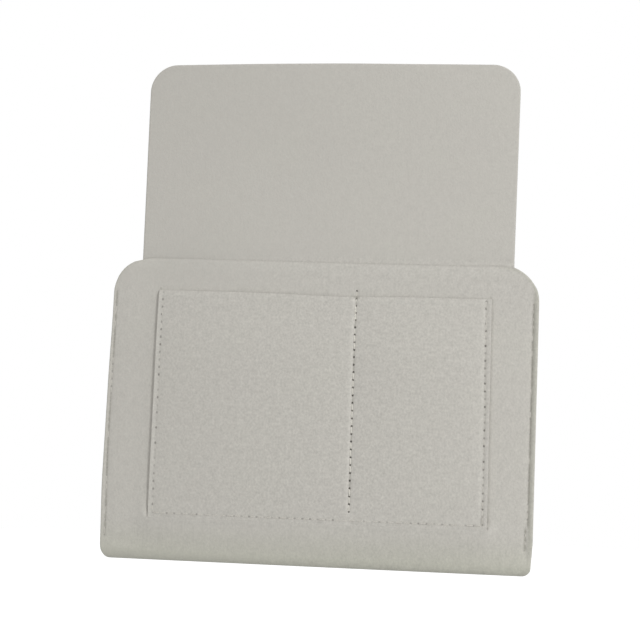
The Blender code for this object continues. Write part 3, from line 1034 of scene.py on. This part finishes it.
def addNoise(tree, coordinates, size, detail, roughness):  # cells of size metres
    scale = (1 / size[0], 1 / size[1], 1)
    mapping = addNode(tree, "Mapping", {"Vector": coordinates, "Scale": scale})
    texture = addNode(tree, "TexNoise", {
        "Vector": mapping.outputs["Vector"], "Scale": 1, "Detail": detail,
        "Roughness": roughness})
    return texture.outputs["Fac"]


def addAttribute(tree, name):
    return addNode(tree, "Attribute", {}, attribute_name=name).outputs["Fac"]


def addBump(tree, height, strength, distance):
    bump = addNode(tree, "Bump", {"Height": height, "Strength": strength, "Distance": distance})
    return bump.outputs["Normal"]


def mixColours(tree, share, first, second):
    ends = [(*value, 1) if isinstance(value, tuple) else value for value in (first, second)]
    sockets = {"Factor": share, "A": ends[0], "B": ends[1]}
    return addNode(tree, "Mix", sockets, data_type="RGBA").outputs["Result"]


def shaded(tree, tone, pattern, amount):  # tone made lighter and darker by a pattern
    patternMiddle = 0.5
    away = addMath(tree, "SUBTRACT", pattern, patternMiddle)
    return addMath(tree, "MULTIPLY_ADD", away, amount, tone)


bodyFinish = {
    "colour": (0.512, 0.493, 0.456),
    "drift": (0.500, 0.486, 0.442),
    # painted shade, a little greener, on the lips, the shoulders' rims and the foot
    "tint": (0.455, 0.450, 0.390),
    # painted shade along the seams' valleys
    "valley": (0.270, 0.262, 0.222),
    # painted shadow in the needle holes
    "hole": (0.075, 0.070, 0.060),
    "grainSize": (0.0015, 0.0021),
    "grainShade": 0.42,
    "grainDetail": 3,
    "grainRoughness": 0.6,
    "softDetail": 2,
    "softRoughness": 0.5,
    "mottleSize": (0.0042, 0.0065),
    "mottleShade": 0.20,
    "cloudSize": (0.060, 0.045),
    "cloudShade": 0.035,
    "fuzzSize": (0.00045, 0.00070),
    "fuzzRise": 0.5,
    "holeRise": -3,
    "calm": 0.52,
    "bumpHeight": 0.00026,
    "bumpStrength": 0.6,
    "roughness": 0.95,
    "specular": 0.15,
    "sheen": 0.12,
    "sheenRoughness": 0.6,
    "holeSquash": 0.75,
    "holeSmall": 0.45,
    "holeLarge": 0.95,
}
patchFinish = {
    **bodyFinish, "grainSize": (0.0016, 0.0020), "grainShade": 0.56,
    "mottleSize": (0.0048, 0.0052), "mottleShade": 0.24,
}


def needleHoleShade(tree, finish):  # 1 in each needle hole, where its shadow is painted, and 0 away from it
    across = addAttribute(tree, "acrossSeam")
    halfStitch = 0.5
    along = addMath(tree, "PINGPONG", addAttribute(tree, "alongSeam"), halfStitch)
    along = addMath(tree, "MULTIPLY", along, stitchPitch * toMillimetres * finish["holeSquash"])
    total = addMath(tree, "ADD", addMath(tree, "MULTIPLY", across, across),
                    addMath(tree, "MULTIPLY", along, along))
    ramp = addNode(tree, "MapRange", {
        "Value": addMath(tree, "SQRT", total), "From Min": finish["holeSmall"],
        "From Max": finish["holeLarge"], "To Min": 1, "To Max": 0,
    }, interpolation_type="SMOOTHSTEP")
    return addMath(tree, "MULTIPLY", ramp.outputs["Result"], addAttribute(tree, "pierce"))


def feltMaterial(name, finish):
    material, tree, shader = newTree(name)
    flat = addNode(tree, "UVMap", {}, uv_map="flatFelt").outputs["UV"]
    fine, soft = finish["grainRoughness"], finish["softRoughness"]
    grain = addNoise(tree, flat, finish["grainSize"], finish["grainDetail"], fine)
    mottle = addNoise(tree, flat, finish["mottleSize"], finish["softDetail"], soft)
    cloud = addNoise(tree, flat, finish["cloudSize"], finish["softDetail"], soft)
    fuzz = addNoise(tree, flat, finish["fuzzSize"], finish["softDetail"], fine)
    tone = shaded(tree, 0, grain, finish["grainShade"])
    tone = shaded(tree, tone, mottle, finish["mottleShade"])
    calm = addMath(tree, "MULTIPLY", addAttribute(tree, "calm"), 1 - finish["calm"])
    tone = addMath(tree, "MULTIPLY", tone, addMath(tree, "SUBTRACT", 1, calm))
    # painted light and shade, read from the lighter attribute
    tone = addMath(tree, "ADD", tone, addMath(tree, "ADD", addAttribute(tree, "lighter"), 1))
    tone = shaded(tree, tone, cloud, finish["cloudShade"])
    colour = mixColours(tree, cloud, finish["colour"], finish["drift"])
    # painted shade, a little greener, from the tint attribute
    colour = mixColours(tree, addAttribute(tree, "tint"), colour, finish["tint"])
    scaled = addNode(tree, "VectorMath", {0: colour, "Scale": tone}, operation="SCALE")
    # painted shade along the seams' valleys and the notch shadows
    colour = mixColours(tree, addAttribute(tree, "valley"), scaled.outputs["Vector"],
                        finish["valley"])
    holes = needleHoleShade(tree, finish)
    # painted shadow in the needle holes
    colour = mixColours(tree, holes, colour, finish["hole"])
    height = addMath(tree, "MULTIPLY_ADD", fuzz, finish["fuzzRise"], grain)
    height = addMath(tree, "MULTIPLY_ADD", holes, finish["holeRise"], height)
    setSockets(tree, shader, {
        "Base Color": colour,
        "Normal": addBump(tree, height, finish["bumpStrength"], finish["bumpHeight"]),
        "Roughness": finish["roughness"],
        "Specular IOR Level": finish["specular"],
        "Sheen Weight": finish["sheen"],
        "Sheen Roughness": finish["sheenRoughness"],
    })
    return material


# The thread, in a pale copy for the divider and a darker copy, partly painted shade, for the rest
threadFinish = {
    "colour": (0.84, 0.82, 0.75),
    "shadow": (0.60, 0.58, 0.51),
    "twist": 0.0009,
    "twistTurn": math.radians(35),
    "bands": 0.32,
    "distortion": 0.6,
    "bumpStrength": 0.5,
    "bumpHeight": 0.00012,
    "roughness": 0.6,
    "sheen": 0.2,
}
sunkThreadFinish = {  # a darker copy of the thread: partly the felt's own fibres worked into it, partly painted shade
    **threadFinish, "colour": (0.60, 0.58, 0.53), "shadow": (0.50, 0.48, 0.43), "roughness": 0.8,
}


def threadMaterial(name, finish):  # two twisted plies: slanting bands across the thread
    material, tree, shader = newTree(name)
    place = addNode(tree, "TexCoord", {})
    mapping = addNode(tree, "Mapping", {
        "Vector": place.outputs["Object"], "Rotation": (0, finish["twistTurn"], 0),
        "Scale": [1 / finish["twist"]] * 3})
    wave = addNode(tree, "TexWave", {
        "Vector": mapping.outputs["Vector"], "Scale": finish["bands"],
        "Distortion": finish["distortion"],
    }, bands_direction="Z")
    bands = wave.outputs["Fac"]
    setSockets(tree, shader, {
        "Base Color": mixColours(tree, bands, finish["shadow"], finish["colour"]),
        "Normal": addBump(tree, bands, finish["bumpStrength"], finish["bumpHeight"]),
        "Roughness": finish["roughness"],
        "Sheen Weight": finish["sheen"],
    })
    return material


bodyFelt = feltMaterial("bodyFelt", bodyFinish)
patchFelt = feltMaterial("patchFelt", patchFinish)
paleThread = threadMaterial("paleThread", threadFinish)
sunkThread = threadMaterial("sunkThread", sunkThreadFinish)
print("materials mixed")

flatRows = blankRows()
flatPlaces = flatLengths(flatRows)
feltBlank = makeSheet("felt_blank", blankColumns(), list(zip(flatRows, flatPlaces)), blankVertex,
                      bodyFelt)
print("blank cut and folded:", len(feltBlank.data.polygons), "faces")
patchPiece = makeSheet("patch_felt_piece", patchColumns(), patchRows(), patchVertex, patchFelt)
print("patch made:", len(patchPiece.data.polygons), "faces")
sewnThreads = makeThreads(paleThread, sunkThread)
print("seams sewn:", sum(len(item.data.polygons) for item in sewnThreads.values()), "faces")


# What each piece rides on and stands for
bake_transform(feltBlank)
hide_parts("tuck_flap", "pocket_body")
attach(patchPiece, "pocket")
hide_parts("patch_pocket")
for node, item in sewnThreads.items():
    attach(item, "pocket")
    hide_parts(node)


def flatArea(rows, lengths):  # area of the cut blank, from its rows while flat
    widths = [halfAt(part, place, 0) + halfAt(part, place, 1) for part, place in rows]
    steps = zip(lengths, lengths[1:], widths, widths[1:])
    return sum((low - high) * (wide + wider) / 2 for high, low, wide, wider in steps)


blankArea = flatArea(flatRows, flatPlaces)


# Light, floor and background
stageSpec = {
    "hangHeight": 0.45,
    "floorRadius": 6.0,
    "floorSides": 64,
    "floorColour": (0.55, 0.55, 0.55),
    "floorRoughness": 0.9,
    "floorLift": 0.62,
    "fill": 0.535,
    "skyRise": 0.45,
    "key": {"power": 16.5, "size": 0.60, "place": (1.20, -1.57, 0.28)},
    "back": {"power": 8, "size": 1.00, "place": (-1.50, 1.80, 0.50)},
    "aim": (0, 0, -0.08),
}


def makeFloor(spec):
    shape = bmesh.new()
    bmesh.ops.create_circle(shape, cap_ends=True, segments=spec["floorSides"],
                            radius=spec["floorRadius"])
    centre = Vector((0, 0, bodyBottom - spec["hangHeight"]))
    bmesh.ops.translate(shape, vec=centre, verts=shape.verts)
    material, tree, shader = newTree("paleFloor")
    setSockets(tree, shader, {
        "Base Color": (*spec["floorColour"], 1),
        "Roughness": spec["floorRoughness"],
        "Emission Color": (1, 1, 1, 1),
        "Emission Strength": addMath(tree, "MULTIPLY", seenDirectly(tree), spec["floorLift"]),
    })
    meshObject("floor", shape, material)


def seenDirectly(tree):  # 1 on camera, glossy and transmission rays
    rays = addNode(tree, "LightPath", {}).outputs
    seen = addMath(tree, "MAXIMUM", rays["Is Camera Ray"], rays["Is Glossy Ray"])
    return addMath(tree, "MAXIMUM", seen, rays["Is Transmission Ray"])


def makeWorld(spec):
    world = bpy.data.worlds.new("studio")
    bpy.context.scene.world = world
    world.use_nodes = True
    tree = world.node_tree
    direction = addNode(tree, "TexCoord", {}).outputs["Generated"]
    height = addNode(tree, "SeparateXYZ", {"Vector": direction}).outputs["Z"]
    sky = addMath(tree, "MULTIPLY_ADD", height, spec["skyRise"], spec["fill"])
    setSockets(tree, tree.nodes["Background"], {
        "Strength": 1, "Color": mixColours(tree, seenDirectly(tree), sky, (1, 1, 1))})


def makeLamp(name, spec, aim):
    data = bpy.data.lights.new(name, "AREA")
    data.shape = "DISK"
    data.energy = spec["power"]
    data.size = spec["size"]
    lamp = newObject(name, data)
    lamp.location = spec["place"]
    towards = Vector(aim) - Vector(spec["place"])
    lamp.rotation_euler = towards.to_track_quat("-Z", "Y").to_euler()


makeFloor(stageSpec)
makeWorld(stageSpec)
makeLamp("keyLamp", stageSpec["key"], stageSpec["aim"])
makeLamp("backLamp", stageSpec["back"], stageSpec["aim"])
bpy.context.scene.view_settings.view_transform = "Standard"
print("stage lit")
